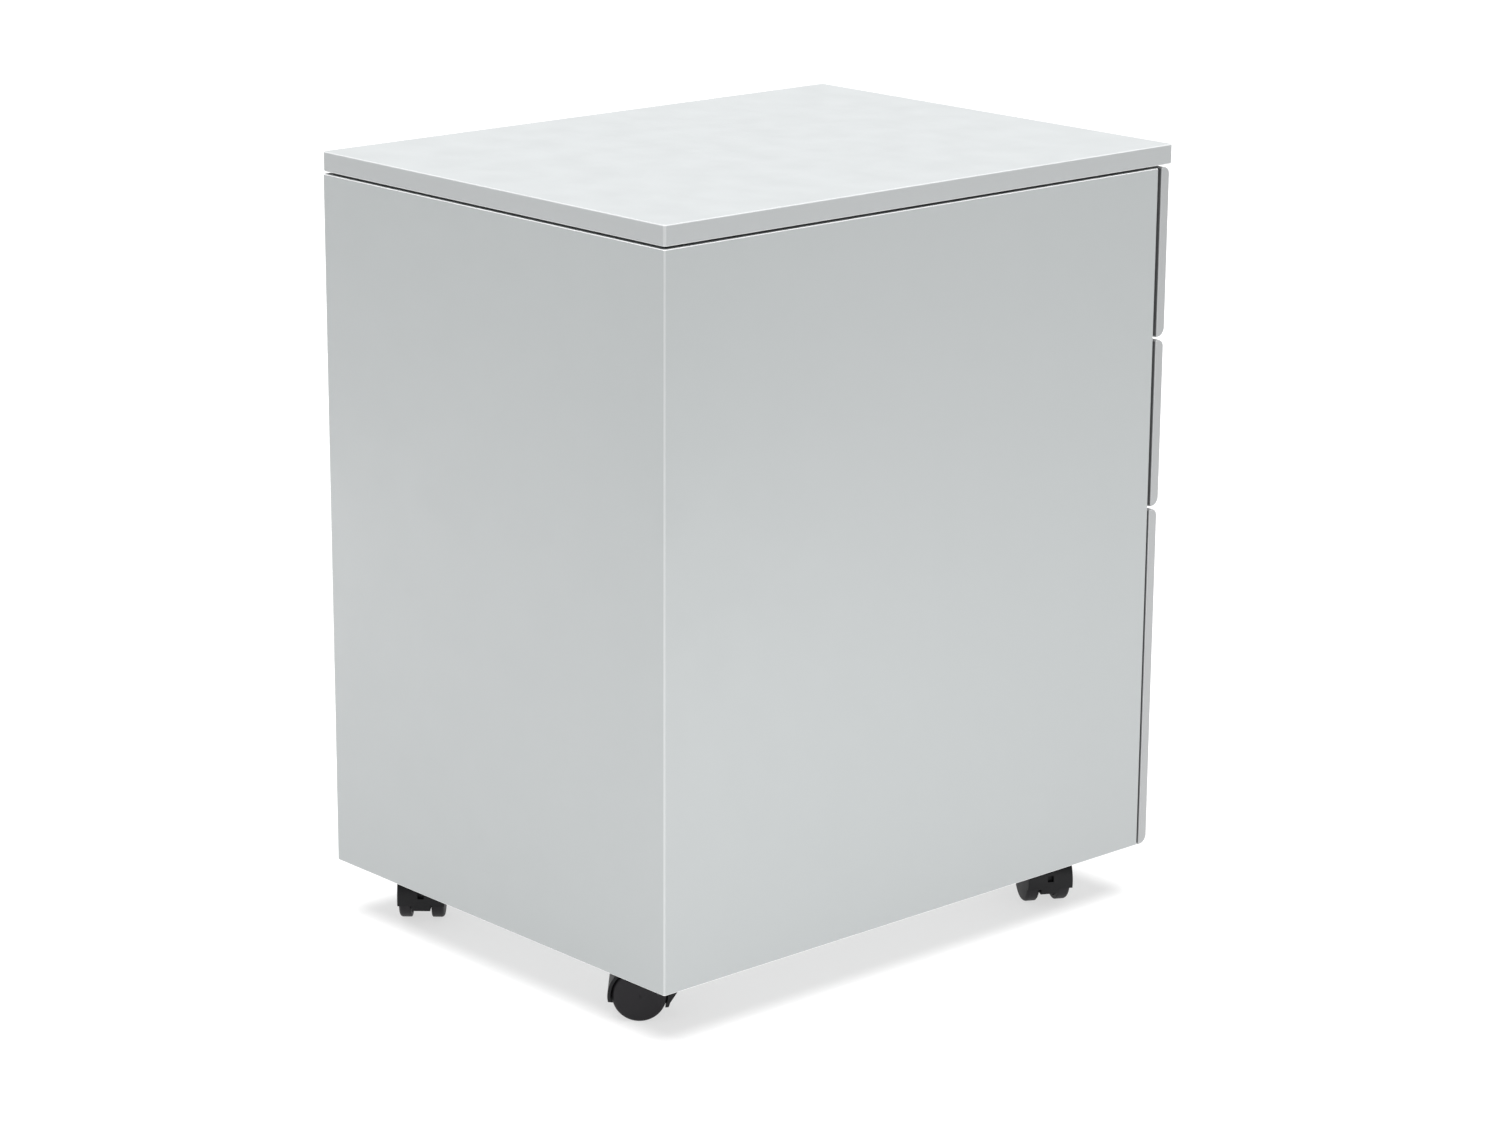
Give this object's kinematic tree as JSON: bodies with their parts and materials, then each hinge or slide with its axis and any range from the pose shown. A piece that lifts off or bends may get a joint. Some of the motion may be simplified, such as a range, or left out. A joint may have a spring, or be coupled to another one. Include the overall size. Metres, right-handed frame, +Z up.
{
  "type": "rolling pedestal cabinet",
  "caption": "Low steel pedestal cabinet on casters with full-width drawer fronts, two shallow drawers over a file drawer, a lock and a slab top.",
  "frame": {"origin": "on the floor under the centre of the top", "axes": "+Z up, drawers open towards -Y, +X to the right seen from the front"},
  "size_m": [0.39, 0.5124, 0.6],
  "materials": {
    "body_paint": "silver grey powder coat, satin, fine orange peel",
    "top_paint": "silver grey powder coat, satin",
    "front_paint": "silver grey powder coat, satin",
    "drawer_paint": "silver grey powder coat, satin",
    "galvanised_steel": "galvanised sheet",
    "slide_steel": "bright zinc plated",
    "zinc_plate": "zinc plated",
    "zinc_screws": "zinc plated",
    "lock_chrome": "satin nickel",
    "groove_black": "matt black foam strip",
    "core_board": "raw chipboard",
    "buffer_rubber": "matt black",
    "pull_plastic": "moulded, light grain",
    "tray_plastic": "moulded, light grain",
    "caster_nylon": "moulded nylon",
    "wheel_nylon": "moulded nylon, satin"
  },
  "bodies": {
    "carcass": {"carcass_wrap": "body_paint", "base_pan": "body_paint", "front_top_rail": "body_paint", "left_slide_uprights": "galvanised_steel", "right_slide_uprights": "galvanised_steel", "front_buffers": "buffer_rubber", "top_spacer": "groove_black", "top_cover": "top_paint", "top_core": "core_board", "top_screws": "zinc_screws", "lock_housing": "lock_chrome", "caster_plates": "zinc_plate", "caster_screws": "zinc_screws", "drawer_1_slide_outer_left": "slide_steel", "drawer_1_slide_outer_right": "slide_steel", "drawer_2_slide_outer_left": "slide_steel", "drawer_2_slide_outer_right": "slide_steel", "drawer_3_slide_outer_left": "slide_steel", "drawer_3_slide_outer_right": "slide_steel"},
    "lock_barrel": {"lock_barrel": "lock_chrome", "lock_cam": "galvanised_steel"},
    "lock_bar": {"lock_bar": "galvanised_steel"},
    "drawer_1": {"drawer_1_front_skin": "front_paint", "drawer_1_front_liner": "front_paint", "drawer_1_pull": "pull_plastic", "drawer_1_tray": "drawer_paint", "drawer_1_slide_inner_left": "slide_steel", "drawer_1_slide_inner_right": "slide_steel", "pencil_tray": "tray_plastic"},
    "drawer_2": {"drawer_2_front_skin": "front_paint", "drawer_2_front_liner": "front_paint", "drawer_2_pull": "pull_plastic", "drawer_2_tray": "drawer_paint", "drawer_2_slide_inner_left": "slide_steel", "drawer_2_slide_inner_right": "slide_steel"},
    "drawer_3": {"drawer_3_front_skin": "front_paint", "drawer_3_front_liner": "front_paint", "drawer_3_pull": "pull_plastic", "drawer_3_tray": "drawer_paint", "drawer_3_slide_inner_left": "slide_steel", "drawer_3_slide_inner_right": "slide_steel", "hanging_rails": "slide_steel"},
    "drawer_3_slide_middle": {"drawer_3_slide_middle_left": "slide_steel", "drawer_3_slide_middle_right": "slide_steel"},
    "caster_rear_left": {"caster_rear_left_hood": "caster_nylon", "caster_rear_left_axle": "slide_steel"},
    "caster_rear_left_wheel_a": {"caster_rear_left_wheel_a": "wheel_nylon"},
    "caster_rear_left_wheel_b": {"caster_rear_left_wheel_b": "wheel_nylon"},
    "caster_rear_right": {"caster_rear_right_hood": "caster_nylon", "caster_rear_right_axle": "slide_steel"},
    "caster_rear_right_wheel_a": {"caster_rear_right_wheel_a": "wheel_nylon"},
    "caster_rear_right_wheel_b": {"caster_rear_right_wheel_b": "wheel_nylon"},
    "caster_front_left": {"caster_front_left_hood": "caster_nylon", "caster_front_left_axle": "slide_steel"},
    "caster_front_left_wheel_a": {"caster_front_left_wheel_a": "wheel_nylon"},
    "caster_front_left_wheel_b": {"caster_front_left_wheel_b": "wheel_nylon"},
    "caster_front_right": {"caster_front_right_hood": "caster_nylon", "caster_front_right_axle": "slide_steel"},
    "caster_front_right_wheel_a": {"caster_front_right_wheel_a": "wheel_nylon"},
    "caster_front_right_wheel_b": {"caster_front_right_wheel_b": "wheel_nylon"}
  },
  "joints": [
    {"name": "drawer_1_slide", "type": "slide", "parent": "carcass", "child": "drawer_1", "axis": [0, -1, 0], "range_m": [0, 0.33]},
    {"name": "drawer_2_slide", "type": "slide", "parent": "carcass", "child": "drawer_2", "axis": [0, -1, 0], "range_m": [0, 0.33]},
    {"name": "drawer_3_slide", "type": "slide", "parent": "carcass", "child": "drawer_3", "axis": [0, -1, 0], "range_m": [0, 0.42]},
    {"name": "drawer_3_middle_slide", "type": "slide", "parent": "carcass", "child": "drawer_3_slide_middle", "axis": [0, -1, 0], "range_m": [0, 0.21]},
    {"name": "lock_turn", "type": "hinge", "parent": "carcass", "child": "lock_barrel", "pos_m": [0.152, -0.2539, 0.561], "axis": [0, 1, 0], "range_deg": [0, 90]},
    {"name": "lock_bar_lift", "type": "slide", "parent": "carcass", "child": "lock_bar", "axis": [0, 0, 1], "range_m": [0, 0.008]},
    {"name": "caster_rear_left_swivel", "type": "hinge", "parent": "carcass", "child": "caster_rear_left", "pos_m": [-0.142, 0.2125, 0.049], "axis": [0, 0, 1], "continuous": true},
    {"name": "caster_rear_left_wheel_a_spin", "type": "hinge", "parent": "caster_rear_left", "child": "caster_rear_left_wheel_a", "pos_m": [-0.13115, 0.22426, 0.02], "axis": [0.7349, -0.6782, 0], "continuous": true},
    {"name": "caster_rear_left_wheel_b_spin", "type": "hinge", "parent": "caster_rear_left", "child": "caster_rear_left_wheel_b", "pos_m": [-0.13115, 0.22426, 0.02], "axis": [0.7349, -0.6782, 0], "continuous": true},
    {"name": "caster_rear_right_swivel", "type": "hinge", "parent": "carcass", "child": "caster_rear_right", "pos_m": [0.149, 0.206, 0.049], "axis": [0, 0, 1], "continuous": true},
    {"name": "caster_rear_right_wheel_a_spin", "type": "hinge", "parent": "caster_rear_right", "child": "caster_rear_right_wheel_a", "pos_m": [0.13724, 0.21685, 0.02], "axis": [0.6782, 0.7349, 0], "continuous": true},
    {"name": "caster_rear_right_wheel_b_spin", "type": "hinge", "parent": "caster_rear_right", "child": "caster_rear_right_wheel_b", "pos_m": [0.13724, 0.21685, 0.02], "axis": [0.6782, 0.7349, 0], "continuous": true},
    {"name": "caster_front_left_swivel", "type": "hinge", "parent": "carcass", "child": "caster_front_left", "pos_m": [-0.141, -0.183, 0.049], "axis": [0, 0, 1], "continuous": true},
    {"name": "caster_front_left_wheel_a_spin", "type": "hinge", "parent": "caster_front_left", "child": "caster_front_left_wheel_a", "pos_m": [-0.15494, -0.17515, 0.02], "axis": [0.4909, 0.8712, 0], "continuous": true},
    {"name": "caster_front_left_wheel_b_spin", "type": "hinge", "parent": "caster_front_left", "child": "caster_front_left_wheel_b", "pos_m": [-0.15494, -0.17515, 0.02], "axis": [0.4909, 0.8712, 0], "continuous": true},
    {"name": "caster_front_right_swivel", "type": "hinge", "parent": "carcass", "child": "caster_front_right", "pos_m": [0.141, -0.183, 0.049], "axis": [0, 0, 1], "continuous": true},
    {"name": "caster_front_right_wheel_a_spin", "type": "hinge", "parent": "caster_front_right", "child": "caster_front_right_wheel_a", "pos_m": [0.14851, -0.19713, 0.02], "axis": [-0.8829, -0.4695, 0], "continuous": true},
    {"name": "caster_front_right_wheel_b_spin", "type": "hinge", "parent": "caster_front_right", "child": "caster_front_right_wheel_b", "pos_m": [0.14851, -0.19713, 0.02], "axis": [-0.8829, -0.4695, 0], "continuous": true}
  ],
  "couplings": [
    {"joint": "drawer_3_middle_slide", "follows": "drawer_3_slide", "ratio": 0.5},
    {"joint": "lock_turn", "follows": "lock_bar_lift", "rad_per_m": 196.35}
  ]
}
